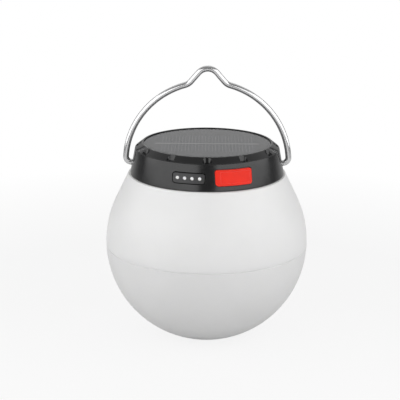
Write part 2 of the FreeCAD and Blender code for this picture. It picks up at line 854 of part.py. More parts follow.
def draw_circle(sketch, x, y, radius):
    circle = Part.Circle(FreeCAD.Vector(x.value, y.value, 0), FreeCAD.Vector(0, 0, 1), radius.value)
    geometry = sketch.addGeometry(circle)
    place_point(sketch, geometry, 3, x, y)
    index = sketch.addConstraint(Sketcher.Constraint("Radius", geometry, radius.value))
    sketch.renameConstraint(index, "radius")
    sketch.setExpression("Constraints.radius", radius.text)


def sweep(body, name, section, route):
    doc.recompute()
    pipe = body.newObject("PartDesign::AdditivePipe", f"{name}_pipe")
    pipe.Profile = section
    pipe.Spine = (route, [f"Edge{k + 1}" for k in range(len(route.Shape.Edges))])
    doc.recompute()


node(group("battery_leads", [
    battery_lead(f"battery_lead_{side}", x) for side, x in (("left", -lead_half), ("right", lead_half))
]))

# Push button, its charge lights and its switch

lip_half = button_half + s.lip_width
button_ring = wall_ring("button_ring", head_z, deck_z, lip_back, s.button_proud)
button_bar = bar("button_bar", -button_half, button_half, button_low, button_high, window_near, reach,
                 s.button_corner, s.button_azimuth)
lip_ring = wall_ring("lip_ring", head_z, deck_z, lip_back, lip_face)
lip_bar = bar("lip_bar", -lip_half, lip_half, button_low - s.lip_width, button_high + s.lip_width, window_near,
              reach, s.button_corner + s.lip_width, s.button_azimuth)
stem_z = button_z + s.stem_rise
stem_outer = wall_radius(stem_z) + lip_face
plunger_outer = board_radius - s.switch_setback + s.plunger_reach
stem = box("button_stem", -(s.stem_width / 2), s.stem_width / 2, -stem_outer, -plunger_outer,
           stem_z - s.stem_thickness / 2, stem_z + s.stem_thickness / 2, s.button_azimuth)
button_front = common("button_front", button_ring, button_bar)
button_lip = common("button_lip", lip_ring, lip_bar)
button_body = fuse("button_body", [button_front, button_lip, stem])

light_places = [s.light_pitch * (k - 1.5) for k in range(4)]
light_holes = []
light_rods = []
for number, x in enumerate(light_places, start=1):
    light_holes.append(level_rod(f"light_hole_{number}", s.light_radius, x, button_z, window_near, reach,
                                 s.button_azimuth))
    light_rods.append(level_rod(f"light_rod_{number}", s.light_radius, x, button_z, window_near, reach,
                                s.button_azimuth))
node(cut("button_cap", button_body, light_holes))
light_ring = wall_ring("light_ring", head_z, deck_z, lip_back, s.button_proud + s.light_proud)
node(common("gauge_lights", light_ring, fuse("light_rods", light_rods)))

lamp_front = board_radius - s.gauge_lamp_setback
node(group("gauge_leds", [
    box(f"gauge_lamp_{number}", x - s.gauge_lamp_width / 2, x + s.gauge_lamp_width / 2,
        -lamp_front, s.gauge_lamp_depth - lamp_front, board_top, button_z + s.light_radius / 2,
        s.button_azimuth)
    for number, x in enumerate(light_places, start=1)
]))

switch_front = board_radius - s.switch_setback
plunger_inner = switch_front - s.plunger_hold
switch_block = box("switch_block", -(s.switch_width / 2), s.switch_width / 2, -switch_front,
                   s.switch_depth - switch_front, board_top, stem_z + s.switch_cap, s.button_azimuth)
switch_bore = level_rod("switch_bore", s.plunger_radius + s.plunger_fit, ZERO, stem_z,
                        plunger_inner - s.button_travel - s.screw_clearance, switch_front + s.plunger_reach,
                        s.button_azimuth)
node(cut("tact_switch", switch_block, [switch_bore]))
node(level_rod("switch_plunger", s.plunger_radius, ZERO, stem_z, plunger_inner, plunger_outer, s.button_azimuth))

# Rubber cover with its anchor, and the charging socket behind it

cover_bar = bar("cover_bar", -cover_half, cover_half, cover_low, cover_high, window_near, reach, s.cover_corner,
                s.cover_azimuth)
flap_ring = wall_ring("flap_ring", head_z, hinge_z - s.hinge_slot / 2, s.cover_lift - s.cover_recess,
                      s.cover_proud)
anchor_ring = wall_ring("anchor_ring", hinge_z + s.hinge_slot / 2, deck_z, -s.cover_recess, s.cover_proud)
flap = common("flap", flap_ring, cover_bar)
plug_ring = wall_ring("plug_ring", head_z, deck_z, -(s.cover_recess + s.plug_depth),
                      s.cover_lift - s.cover_recess / 2)
plug_bar = bar("plug_bar", s.plug_gap - window_half, window_half - s.plug_gap, window_low + s.plug_drop,
               window_high - s.plug_gap, window_near, reach, s.cover_corner - s.plug_gap, s.cover_azimuth)
plug = common("plug", plug_ring, plug_bar)
node(fuse("port_cover", [flap, plug]))

anchor_strip = common("anchor_strip", anchor_ring, cover_bar)
pegs = []
peg_face = wall_radius(peg_z) - s.cover_recess / 2
peg_end = wall_radius(peg_z) - s.head_wall - s.peg_tail
for side, x in (("left", -s.peg_side), ("right", s.peg_side)):
    pegs.append(level_rod(f"peg_{side}", s.peg_radius, x, peg_z, peg_end, peg_face,
                          s.cover_azimuth))
node(fuse("cover_anchor", [anchor_strip] + pegs))

socket_front = wall_radius(socket_z) - s.head_wall - s.socket_setback
socket_back = socket_front - s.socket_length
socket_half = s.socket_width / 2
socket_round = s.socket_tall / 2 - s.socket_shell / 2
socket_high = board_top + s.socket_tall
socket_shell = bar("socket_shell", -socket_half, socket_half, board_top, socket_high, socket_back, socket_front,
                   socket_round, s.cover_azimuth)
socket_space = bar("socket_space", s.socket_shell - socket_half, socket_half - s.socket_shell,
                   board_top + s.socket_shell, socket_high - s.socket_shell, socket_back + s.socket_shell,
                   reach, socket_round - s.socket_shell, s.cover_azimuth)
node(cut("usb_socket", socket_shell, [socket_space]))
node(box("usb_tongue", -(s.tongue_width / 2), s.tongue_width / 2, s.tongue_setback - socket_front,
         -(socket_back + s.socket_shell), socket_z - s.tongue_tall / 2, socket_z + s.tongue_tall / 2,
         s.cover_azimuth))

# Bail: one bent wire, from pivot to pivot over the crown

bail_radius = head_radius + s.bail_gap + s.wire_radius
bend_x = root((bail_radius - s.foot_bend) * (bail_radius - s.foot_bend) - s.foot_bend * s.foot_bend)
arc_share = bail_radius / (bail_radius - s.foot_bend)
crown_z = bail_radius + s.crown_rise - s.crown_radius
flank_sin = sine(s.flank_angle)
flank_cos = cosine(s.flank_angle)
flank_reach = crown_z * flank_cos + s.crown_radius + s.crown_bend
corner_reach = bail_radius + s.crown_bend
flank_length = root(corner_reach * corner_reach - flank_reach * flank_reach)
corner_x = flank_reach * flank_sin - flank_length * flank_cos
corner_z = flank_reach * flank_cos + flank_length * flank_sin
corner_share = bail_radius / corner_reach

half_route = [
    (wire_end, ZERO),
    (bend_x, ZERO),
    (bend_x * arc_share, s.foot_bend * arc_share),
    (corner_x * corner_share, corner_z * corner_share),
    (corner_x - s.crown_bend * flank_sin, corner_z - s.crown_bend * flank_cos),
    (s.crown_radius * flank_sin, crown_z + s.crown_radius * flank_cos),
]
half_centres = [None, (bend_x, s.foot_bend), (ZERO, ZERO), (corner_x, corner_z), None]
route_points = [(x, pivot_z + z) for x, z in half_route]
route_points += [(-x, pivot_z + z) for x, z in reversed(half_route)]
centre_list = half_centres + [(ZERO, crown_z)]
centre_list += [pair and (-pair[0], pair[1]) for pair in reversed(half_centres)]
route_centres = {
    side: (ZERO if abs(pair[0].value) < 1e-9 else pair[0], pivot_z + pair[1])
    for side, pair in enumerate(centre_list) if pair
}
bail = node(doc.addObject("PartDesign::Body", "bail_wire"))
bail_route = new_sketch(bail, "bail_route", "XZ_Plane")
draw(bail_route, route_points, route_centres, closed=False)
bail_section = new_sketch(bail, "bail_section", "YZ_Plane", wire_end)
draw_circle(bail_section, ZERO, pivot_z, s.wire_radius)
sweep(bail, "bail", bail_section, bail_route)

# Checks, then one file for each piece

doc.recompute()
for part in doc.Objects:
    faults = [word for word in part.State if word in ("Invalid", "Error")]
    if faults:
        raise RuntimeError(f"{part.Label}: {part.State}")
for part in nodes:
    if part.Shape.isNull() or not part.Shape.isValid() or not part.Shape.Solids:
        raise RuntimeError(f"{part.Label}: no valid solid")

os.makedirs("parts", exist_ok=True)
for part in nodes:
    solids = part.Shape.Solids
    shape = solids[0] if len(solids) == 1 else Part.makeCompound(solids)
    shape.exportStep(f"parts/{part.Label}.step")
    print(f"{part.Label}: {len(solids)} solids, {shape.Volume:.1f} mm3")
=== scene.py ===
"""The solar camping lantern as it looks: its finishes, its moulded details, the studio and the camera."""

import math

import bmesh
import bpy
from mathutils import Matrix, Vector


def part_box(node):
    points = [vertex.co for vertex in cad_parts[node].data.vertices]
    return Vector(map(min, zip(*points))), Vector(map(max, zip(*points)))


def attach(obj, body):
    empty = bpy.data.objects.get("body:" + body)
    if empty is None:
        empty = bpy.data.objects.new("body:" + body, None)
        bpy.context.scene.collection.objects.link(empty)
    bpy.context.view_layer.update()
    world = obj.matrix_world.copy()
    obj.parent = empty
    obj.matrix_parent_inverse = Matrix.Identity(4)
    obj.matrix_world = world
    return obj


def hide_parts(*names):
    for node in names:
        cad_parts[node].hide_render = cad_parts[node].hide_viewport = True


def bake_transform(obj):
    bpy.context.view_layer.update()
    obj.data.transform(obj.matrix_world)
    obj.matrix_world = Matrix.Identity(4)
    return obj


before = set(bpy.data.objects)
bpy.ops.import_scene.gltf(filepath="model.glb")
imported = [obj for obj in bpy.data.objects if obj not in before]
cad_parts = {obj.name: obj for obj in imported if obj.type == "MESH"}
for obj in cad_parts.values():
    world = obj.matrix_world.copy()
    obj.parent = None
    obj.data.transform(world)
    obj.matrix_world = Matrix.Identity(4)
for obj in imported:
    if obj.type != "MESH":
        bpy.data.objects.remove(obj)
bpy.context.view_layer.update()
MM = 0.001

# The head's drafted wall
HEAD_FOOT = 98.78 * MM
HEAD_RADIUS = 45.34 * MM
HEAD_DRAFT = math.radians(10.8)

# The red cover on that wall: a pad with a raised rim and a plug behind, sliced closely about its hinge
# level near the top
COVER_AZIMUTH = math.radians(20.24)
COVER_WIDTH = 21.65 * MM
COVER_LOW = 101.83 * MM
COVER_HIGH = 110.63 * MM
COVER_HINGE = 109.03 * MM
COVER_BACK = -0.4 * MM
COVER_FRONT = 1.0 * MM
COVER_CORNER = 1.5 * MM
COVER_RIM = 0.85 * MM
COVER_GRIP = 1.75 * MM
RECESS_SLOPE = 0.3 * MM
RECESS_DEPTH = 0.42 * MM
BACK_MARGIN = 1.2 * MM
PLUG_WIDTH = 13.45 * MM
PLUG_LOW = 103.73 * MM
PLUG_HIGH = 107.53 * MM
PLUG_DEPTH = 1.15 * MM
PLUG_TAPER = 0.12 * MM
RUBBER_ROUND = 0.3 * MM
WEB_STEP = 0.15 * MM
SLICE_PLACES = [k * MM for k in range(-10, 11)]
SLICE_LEVELS = [COVER_HINGE + k * WEB_STEP for k in range(-4, 5)] + [105 * MM, 107 * MM]

# The charge lights in the button
BUTTON_AZIMUTH = math.radians(-13.7)
BUTTON_MIDDLE = 105.73 * MM
LIGHT_COUNT = 4
LIGHT_PITCH = 4.25 * MM
LIGHT_RADIUS = 1.0 * MM
LIGHT_BACK = 37.2 * MM
LIGHT_PROUD = 0.33 * MM
LIGHT_DOME = 0.3 * MM

# The bail, one bent wire
PIVOT = 104.28 * MM
WIRE_RADIUS = 1.75 * MM
BAIL_RADIUS = 48.04 * MM
PIN_END = 38.29 * MM
PIN_ROUND = 0.4 * MM
FOOT_BEND = 3.3 * MM
CROWN_RISE = 7.9 * MM
CROWN_RADIUS = 7.0 * MM
CROWN_BEND = 7.0 * MM
FLANK = math.radians(49.0)
BEND_STEP = math.radians(2.0)
FEWEST_STEPS = 8

# The solar panel
PANEL_RADIUS = 37.25 * MM
PANEL_FOOT = 115.43 * MM
PANEL_TOP = 116.53 * MM
FALL_WIDTH = 3.2 * MM
FALL_DEPTH = 0.32 * MM
FALL_STEPS = 8
CELL_TOP = 115.73 * MM
FINGER_PITCH = 1.95 * MM
FINGER_WIDTH = 0.12 * MM
FINGER_HEIGHT = 0.02 * MM
FINGER_MARGIN = 0.4 * MM
CELL_MARGIN = 1.0 * MM

# The studio: two soft lamps beside the lantern, a paper floor and a dim room, bright high at the back
LAMP_WIDTH = 1.14
LAMP_HEIGHT = 0.5
LAMP_POWER = 3.5
LAMP_ASIDE = 0.345
LAMP_BEFORE = 0.42
LAMP_MIDDLE = 0.35
LAMP_TURN = math.radians(13.953)
FLOOR_RADIUS = 1.0
PAPER = 0.7
WHITE_FROM = 0.19
WHITE_TO = 0.4
WHITE_LEAST = 0.85
MIRRORED_WHITE = 0.3
ROOM = 0.13
GLOW = 0.88
GLOW_FROM = 0.586
SWEEP = 0.3
SWEEP_FROM = 0.6
SWEEP_TO = 0.85

# The photograph's viewpoint
SENSOR = 36.0
LENS = 114.07
CAMERA_PLACE = (0, -0.7265, 0.2876)
CAMERA_DOWN = math.radians(15.865)
CAMERA_YAW = 0.00558
CAMERA_ROLL = 0.0065

# How close points count as one, and how far faces turn from each other at an edge
TOUCHING = 0.001 * MM
HAIR = 0.0001 * MM
RIM_TURN = 0.3
SHARP_TURN = math.radians(40.0)
WORN_COSINE = 0.85
FLAT_COSINE = 0.99

# Shading


class Shading:
    """Adds nodes to the tree of a material or of the world."""

    def __init__(self, tree):
        self.tree = tree

    def add(self, kind, inputs, output=0, **settings):
        """Adds a node, sets or links its inputs, and gives one of its outputs."""
        made = self.tree.nodes.new(kind)
        for name, value in settings.items():
            setattr(made, name, value)
        for socket, value in inputs.items():
            if isinstance(value, bpy.types.NodeSocket):
                self.tree.links.new(value, made.inputs[socket])
            else:
                made.inputs[socket].default_value = value
        return made.outputs[output]

    def maths(self, operation, first, second):
        return self.add("ShaderNodeMath", {0: first, 1: second}, operation=operation)

    def dot(self, first, second):
        return self.add("ShaderNodeVectorMath", {0: first, 1: second}, "Value", operation="DOT_PRODUCT")

    def span(self, value, low, high, start=0.3, stop=0.7):
        """Maps a value from start..stop to low..high."""
        inputs = {"Value": value, "From Min": start, "From Max": stop, "To Min": low, "To Max": high}
        return self.add("ShaderNodeMapRange", inputs)

    def path(self, kind):
        return self.add("ShaderNodeLightPath", {}, kind)

    def mirrored(self):
        """One where metal, gloss or glass shows this."""
        return self.maths("MAXIMUM", self.path("Is Glossy Ray"), self.path("Is Transmission Ray"))


class Finish(Shading):
    """A material of one Principled shader, fed by patterns that lie on the piece's own coordinates."""

    def __init__(self, name, **sockets):
        self.material = bpy.data.materials.new(name)
        self.material.use_nodes = True
        super().__init__(self.material.node_tree)
        self.shader = self.tree.nodes["Principled BSDF"]
        self.place = self.add("ShaderNodeTexCoord", {}, "Object")
        for socket, value in sockets.items():
            self.shader.inputs[socket.replace("_", " ")].default_value = value

    def feed(self, socket, value):
        self.tree.links.new(value, self.shader.inputs[socket])

    def stretched(self, scale):
        """Coordinates with a scale of their own along each axis, for marks that can run one way."""
        return self.add("ShaderNodeMapping", {"Vector": self.place, "Scale": scale})

    def noise(self, size, detail=2.0, place=None):
        """Soft random patches of about the given size in metres."""
        inputs = {"Vector": place or self.place, "Scale": 1.0 / size, "Detail": detail}
        return self.add("ShaderNodeTexNoise", inputs, "Fac")

    def flakes(self, size):
        """Hard-edged random patches of about the given size in metres."""
        colour = self.add("ShaderNodeTexVoronoi", {"Vector": self.place, "Scale": 1.0 / size}, "Color")
        return self.add("ShaderNodeSeparateColor", {"Color": colour}, "Red")

    def blend(self, share, first, second):
        """Mixes two colours, each a colour or another pattern's colour."""
        first, second = ((*c, 1.0) if isinstance(c, tuple) else c for c in (first, second))
        share_socket, first_socket, second_socket, mixed = 0, 6, 7, 2
        inputs = {share_socket: share, first_socket: first, second_socket: second}
        return self.add("ShaderNodeMix", inputs, mixed, data_type="RGBA")

    def rounded(self, radius):
        """The normals of the piece as if its edges had a small round."""
        return self.add("ShaderNodeBevel", {"Radius": radius}, samples=6)

    def edges(self, radius):
        """One along the piece's edges, within the radius, and zero on its faces."""
        face = self.add("ShaderNodeNewGeometry", {}, "Normal")
        cosine = self.dot(self.rounded(radius), face)
        return self.span(cosine, 1.0, 0.0, WORN_COSINE, FLAT_COSINE)

    def relief(self, height, depth, strength, soft_edge=0.0):
        """Raises the surface by a pattern, and softens edges by a small round."""
        inputs = {"Height": height, "Distance": depth, "Strength": strength}
        if soft_edge:
            inputs["Normal"] = self.rounded(soft_edge)
        self.feed("Normal", self.add("ShaderNodeBump", inputs))


# Finishes


def shade(colour, factor):
    return tuple(channel * factor for channel in colour)


def moulded_plastic(name, colour, roughness, grain=0.25 * MM, depth=0.012 * MM, wear_and_highlight=1.5, edge=0.25 * MM):
    """Injection-moulded plastic: faint flow patches, spark-eroded grain, and edges made lighter: rubbed
    wear, and where the factor is large, as on the housing and the bezel, a painted highlight along the
    edges.
    """
    finish = Finish(name)
    flow = finish.span(finish.noise(14 * MM, 3.0), 0.0, 1.0)
    body = finish.blend(flow, shade(colour, 0.93), shade(colour, 1.07))
    # Lighter edges: rubbed wear, and partly a painted highlight where light would catch the rounded edges.
    wear_and_highlight_patches = finish.span(finish.noise(2.2 * MM, 3.0), 0.1, 0.7)
    rubbed_and_highlit = finish.maths("MULTIPLY", finish.edges(edge), wear_and_highlight_patches)
    finish.feed("Base Color", finish.blend(rubbed_and_highlit, body, shade(colour, wear_and_highlight)))
    finish.feed("Roughness", finish.span(finish.noise(3 * MM, 4.0), roughness - 0.03, roughness + 0.03))
    finish.relief(finish.noise(grain), depth, 0.6, edge)
    return finish


def soft_rubber(name, colour, roughness):
    """Moulded rubber: matt, a little paler along its edges, partly where it is stretched over them and
    partly as a painted sheen, with a fine eroded grain.
    """
    finish = Finish(name, Specular_IOR_Level=0.2)
    pale = tuple(min(1.0, channel * 1.02 + 0.12) for channel in colour)
    patches = finish.span(finish.noise(5 * MM, 3.0), 0.0, 1.0)
    body = finish.blend(patches, shade(colour, 0.95), shade(colour, 1.05))
    # Paler edges: stretched rubber, and partly a painted sheen along the edges.
    stretch_and_sheen = finish.maths("MULTIPLY", finish.edges(0.7 * MM), finish.span(finish.noise(1.5 * MM), 0.5, 0.9))
    finish.feed("Base Color", finish.blend(stretch_and_sheen, body, pale))
    finish.feed("Roughness", finish.span(finish.noise(1.2 * MM, 3.0), roughness - 0.05, roughness + 0.05))
    finish.relief(finish.noise(0.16 * MM), 0.012 * MM, 0.7)
    return finish


def bright_metal(name, colour, roughness, scratch=(40.0, 900.0, 900.0), depth=0.004 * MM, bare=1.0):
    """Metal with fine marks, which run one way if it was rolled. Under a milky plating, less is bare."""
    finish = Finish(name, Metallic=bare)
    marks = finish.noise(1.0, 3.0, finish.stretched(scratch))
    dull = finish.span(finish.noise(3 * MM, 3.0), 0.0, 1.0)
    finish.feed("Base Color", finish.blend(dull, shade(colour, 0.94), colour))
    finish.feed("Roughness", finish.span(marks, roughness - 0.04, roughness + 0.06))
    finish.relief(marks, depth, 0.4)
    return finish


def printed_board(name, mask, weave):
    """A board under solder mask: the glass weave shows as a faint square pattern."""
    finish = Finish(name, Coat_Weight=0.3, Coat_Roughness=0.15)
    warp = finish.noise(1.0, 1.0, finish.stretched((1800.0, 120.0, 400.0)))
    weft = finish.noise(1.0, 1.0, finish.stretched((120.0, 1800.0, 400.0)))
    cloth = finish.maths("MULTIPLY", warp, weft)
    finish.feed("Base Color", finish.blend(finish.span(cloth, 0.0, 1.0, 0.15, 0.4), mask, weave))
    finish.feed("Roughness", finish.span(finish.noise(2 * MM, 3.0), 0.3, 0.45))
    finish.relief(cloth, 0.01 * MM, 0.4)
    return finish


def frosted_shell(name, colour):
    """Frosted white shell: light spreads in the wall, and the outside is finely blasted."""
    spread = (0.004, 0.004, 0.0036)
    finish = Finish(name, Subsurface_Weight=0.25, Subsurface_Radius=spread, Subsurface_Scale=1.0)
    cloud = finish.span(finish.noise(22 * MM, 3.0), 0.0, 1.0)
    finish.feed("Base Color", finish.blend(cloud, shade(colour, 0.985), shade(colour, 1.012)))
    finish.feed("Roughness", finish.span(finish.noise(6 * MM, 4.0), 0.42, 0.5))
    finish.relief(finish.noise(0.3 * MM), 0.01 * MM, 0.5)
    return finish


def clear_resin(name):
    """Poured clear face with a slightly wavy, hazy top."""
    finish = Finish(name, Transmission_Weight=1.0, IOR=1.5, Base_Color=(0.93, 0.94, 0.95, 1.0))
    finish.feed("Roughness", finish.span(finish.noise(4 * MM, 4.0), 0.1, 0.16))
    finish.relief(finish.noise(9 * MM), 0.01 * MM, 0.4)
    return finish


def silicon(name):
    """Dark silicon with faint crystal flakes."""
    finish = Finish(name)
    flake = finish.flakes(3.5 * MM)
    finish.feed("Base Color", finish.blend(flake, (0.020, 0.022, 0.028), (0.036, 0.038, 0.046)))
    finish.feed("Roughness", finish.span(flake, 0.28, 0.42, 0.0, 1.0))
    finish.relief(finish.noise(0.5 * MM), 0.003 * MM, 0.3)
    return finish


def pair_of_leads(name):
    """Insulation of two leads side by side, one black and one red."""
    finish = Finish(name)
    across = finish.add("ShaderNodeSeparateXYZ", {"Vector": finish.place}, "X")
    red_side = finish.maths("GREATER_THAN", across, 0.0)
    tone = finish.blend(red_side, (0.02, 0.02, 0.02), (0.55, 0.02, 0.02))
    dust = finish.span(finish.noise(1.5 * MM), 0.0, 0.3)
    finish.feed("Base Color", finish.blend(dust, tone, (0.12, 0.1, 0.1)))
    finish.feed("Roughness", finish.span(finish.noise(0.8 * MM), 0.35, 0.5))
    finish.relief(finish.noise(0.3 * MM), 0.01 * MM, 0.4)
    return finish


def lamp_lens(name, colour, glow):
    """Diffusing lens: milky and smooth, with paler patches."""
    spread = (0.0006, 0.0006, 0.0005)
    finish = Finish(name, Subsurface_Weight=0.3, Subsurface_Radius=spread, Subsurface_Scale=1.0)
    patches = finish.span(finish.noise(0.7 * MM, 3.0), 0.0, 1.0)
    finish.feed("Base Color", finish.blend(patches, colour, glow))
    finish.feed("Roughness", finish.span(finish.noise(0.5 * MM), 0.22, 0.34))
    finish.relief(finish.noise(0.12 * MM), 0.004 * MM, 0.4)
    return finish


finishes = {
    "globe_upper": frosted_shell("globe_upper_frost", (0.815, 0.815, 0.81)),
    "globe_lower": frosted_shell("globe_lower_frost", (0.76, 0.76, 0.757)),
    # The housing's and the bezel's large edge factors paint a highlight along their edges.
    "housing": moulded_plastic("housing_satin", (0.011, 0.011, 0.0115), 0.2, wear_and_highlight=2.6),
    "bezel": moulded_plastic("bezel_gloss", (0.010, 0.010, 0.0105), 0.14, grain=0.4 * MM, depth=0.006 * MM,
                             wear_and_highlight=5.0, edge=0.15 * MM),
    "button": moulded_plastic("button_matt", (0.033, 0.033, 0.034), 0.42, wear_and_highlight=1.8, edge=0.3 * MM),
    "rubber_red": soft_rubber("cover_rubber", (0.84, 0.026, 0.011), 0.42),
    "seal": soft_rubber("seal_rubber", (0.02, 0.02, 0.02), 0.5),
    "foam": soft_rubber("foam_tape", (0.05, 0.05, 0.05), 0.8),
    "pad": soft_rubber("foam_pad", (0.7, 0.7, 0.68), 0.8),
    "base": moulded_plastic("base_white", (0.75, 0.75, 0.73), 0.4),
    "black_part": moulded_plastic("switch_black", (0.02, 0.02, 0.02), 0.35),
    "tan_part": moulded_plastic("capacitor_tan", (0.42, 0.27, 0.13), 0.45),
    "coil": moulded_plastic("coil_ferrite", (0.08, 0.08, 0.085), 0.55),
    "steel_wire": bright_metal("wire_steel", (0.66, 0.66, 0.665), 0.12, scratch=(500.0, 500.0, 500.0),
                               depth=0.0008 * MM, bare=0.76),
    "screw": bright_metal("screw_zinc", (0.62, 0.62, 0.63), 0.28, scratch=(300.0, 300.0, 300.0)),
    "socket": bright_metal("socket_tin", (0.68, 0.68, 0.68), 0.26),
    "foil": bright_metal("battery_foil", (0.66, 0.66, 0.68), 0.34, scratch=(500.0, 60.0, 500.0)),
    "tin": bright_metal("ribbon_tin", (0.42, 0.42, 0.415), 0.34),
    "main_board": printed_board("main_board_mask", (0.012, 0.085, 0.03), (0.02, 0.12, 0.045)),
    "lamp_board": printed_board("lamp_board_mask", (0.76, 0.76, 0.74), (0.68, 0.68, 0.66)),
    "backing": printed_board("backing_mask", (0.022, 0.023, 0.026), (0.032, 0.033, 0.037)),
    "silicon": silicon("cell_silicon"),
    "resin": clear_resin("panel_resin"),
    "leads": pair_of_leads("lead_insulation"),
    "lamp": lamp_lens("lamp_phosphor", (0.78, 0.62, 0.16), (0.84, 0.70, 0.24)),
    "window": lamp_lens("window_milk", (0.82, 0.82, 0.82), (0.88, 0.88, 0.88)),
}
node_finish = {
    "globe_upper": "globe_upper", "globe_lower": "globe_lower", "neck_seal": "seal",
    "head_housing": "housing", "solar_bezel": "bezel", "panel_tape": "foam", "solar_backing": "backing",
    "solar_cells": "silicon", "cell_ribbon": "tin", "solar_face": "resin", "head_base": "base",
    "base_screws": "screw", "lamp_board": "lamp_board", "lamp_board_screws": "screw", "lamp_leds": "lamp",
    "main_board": "main_board", "board_screws": "screw", "charge_chip": "black_part", "boost_coil": "coil",
    "board_capacitors": "tan_part", "battery_pad": "pad", "battery_cell": "foil", "solar_leads": "leads",
    "lamp_leads": "leads", "battery_leads": "leads", "button_cap": "button", "gauge_lights": "window",
    "gauge_leds": "lamp", "tact_switch": "black_part", "switch_plunger": "black_part",
    "port_cover": "rubber_red", "cover_anchor": "rubber_red", "usb_socket": "socket",
    "usb_tongue": "black_part", "bail_wire": "steel_wire",
}
for name, finish in node_finish.items():
    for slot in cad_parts[name].material_slots:
        slot.material = finishes[finish].material

# Pieces


def piece(name, bm, finish):
    """Turns a bmesh into a smooth-shaded piece with its finish."""
    bmesh.ops.recalc_face_normals(bm, faces=bm.faces)
    mesh = bpy.data.meshes.new(name)
    bm.to_mesh(mesh)
    bm.free()
    mesh.shade_smooth()
    mesh.set_sharp_from_angle(angle=SHARP_TURN)
    mesh.materials.append(finishes[finish].material)
    made = bpy.data.objects.new(name, mesh)
    bpy.context.scene.collection.objects.link(made)
    return made


def block(bm, low, high):
    """A box between two corners."""
    low, high = Vector(low), Vector(high)
    place = Matrix.Translation((low + high) / 2) @ Matrix.Diagonal((*(high - low), 1.0))
    bmesh.ops.create_cube(bm, size=1.0, matrix=place)


def round_edges(bm, edges, radius, segments=4):
    bmesh.ops.bevel(bm, geom=edges, offset=radius, offset_type="OFFSET", segments=segments, profile=0.5,
                    affect="EDGES", material=-1, clamp_overlap=True)


def inset(bm, face, thickness, depth=0.0):
    """Draws a margin inside a face, and moves what is left of the face out by a depth."""
    bmesh.ops.inset_region(bm, faces=[face], thickness=thickness, depth=depth, use_even_offset=True)
    bm.normal_update()


def slice_along(bm, axis, places):
    """Cuts a piece by planes across an axis, so that it can bend there."""
    normal = Vector((0, 0, 0))
    normal[axis] = 1.0
    for place in places:
        everything = bm.verts[:] + bm.edges[:] + bm.faces[:]
        bmesh.ops.bisect_plane(bm, geom=everything, dist=HAIR, plane_co=normal * place, plane_no=normal)


def wall_radius(z):
    return HEAD_RADIUS - (z - HEAD_FOOT) * math.tan(HEAD_DRAFT)


def lay_on_wall(bm, azimuth):
    """Wraps a piece drawn flat, x along the wall, y out of it and z up, round the head at an azimuth."""
    for v in bm.verts:
        v.co.y = -math.sqrt((wall_radius(v.co.z) + v.co.y) ** 2 - v.co.x ** 2)
    bmesh.ops.rotate(bm, verts=bm.verts, cent=(0, 0, 0), matrix=Matrix.Rotation(azimuth, 3, "Z"))


def facing(bm, side):
    """The outermost face towards +y or -y."""
    return max(bm.faces, key=lambda f: (round(f.normal.y * side, 3), f.calc_center_median().y * side))


def rim_edges(bm, level):
    """The sharp edges that lie all along one level of y."""
    flat = [e for e in bm.edges if all(abs(v.co.y - level) < TOUCHING for v in e.verts)]
    return [e for e in flat if e.calc_face_angle(0.0) > RIM_TURN]


def rubber_cover():
    """The red cover: a rounded pad with a raised rim, a thicker grip at its left end and a plug behind."""
    bm = bmesh.new()
    half = COVER_WIDTH / 2
    block(bm, (-half, COVER_BACK, COVER_LOW), (half, COVER_FRONT, COVER_HIGH))
    corners = [e for e in bm.edges if abs(e.verts[0].co.y - e.verts[1].co.y) > TOUCHING]
    round_edges(bm, corners, COVER_CORNER, segments=6)
    bm.normal_update()

    face = facing(bm, 1)
    inset(bm, face, COVER_RIM)
    grip_side = [v for v in face.verts if v.co.x < 0]
    bmesh.ops.translate(bm, vec=(COVER_GRIP, 0, 0), verts=grip_side)
    inset(bm, face, RECESS_SLOPE, -RECESS_DEPTH)
    round_edges(bm, rim_edges(bm, COVER_FRONT), RUBBER_ROUND)
    bm.normal_update()

    face = facing(bm, -1)
    inset(bm, face, BACK_MARGIN)
    low = min(v.co.z for v in face.verts)
    high = max(v.co.z for v in face.verts)
    narrower = PLUG_WIDTH / (COVER_WIDTH - 2 * BACK_MARGIN)
    shorter = (PLUG_HIGH - PLUG_LOW) / (high - low)
    for v in face.verts:
        v.co.x *= narrower
        v.co.z = (PLUG_LOW + PLUG_HIGH) / 2 + (v.co.z - (low + high) / 2) * shorter
    inset(bm, face, PLUG_TAPER, PLUG_DEPTH)
    round_edges(bm, rim_edges(bm, COVER_BACK - PLUG_DEPTH), RUBBER_ROUND, segments=3)

    slice_along(bm, 0, SLICE_PLACES)
    slice_along(bm, 2, SLICE_LEVELS)
    bmesh.ops.remove_doubles(bm, verts=bm.verts, dist=2 * TOUCHING)
    lay_on_wall(bm, COVER_AZIMUTH)
    made = piece("rubber_cover", bm, "rubber_red")
    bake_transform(made)
    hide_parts("port_cover", "cover_anchor")


def light_windows():
    """Four milky windows with domed ends, in the button."""
    bm = bmesh.new()
    for k in range(LIGHT_COUNT):
        x = (k - (LIGHT_COUNT - 1) / 2) * LIGHT_PITCH
        front = math.sqrt((wall_radius(BUTTON_MIDDLE) + LIGHT_PROUD) ** 2 - x ** 2)
        middle = Vector((x, -(front + LIGHT_BACK) / 2, BUTTON_MIDDLE))
        place = Matrix.Translation(middle) @ Matrix.Rotation(math.pi / 2, 4, "X")
        rod = bmesh.ops.create_cone(bm, cap_ends=True, segments=40, radius1=LIGHT_RADIUS,
                                    radius2=LIGHT_RADIUS, depth=front - LIGHT_BACK, matrix=place)["verts"]
        end = {v for v in rod if v.co.y < middle.y}
        round_edges(bm, [e for e in bm.edges if set(e.verts) <= end], LIGHT_DOME, segments=5)
    bmesh.ops.rotate(bm, verts=bm.verts, cent=(0, 0, 0), matrix=Matrix.Rotation(BUTTON_AZIMUTH, 3, "Z"))
    made = piece("light_windows", bm, "window")
    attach(made, "button")
    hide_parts("gauge_lights")


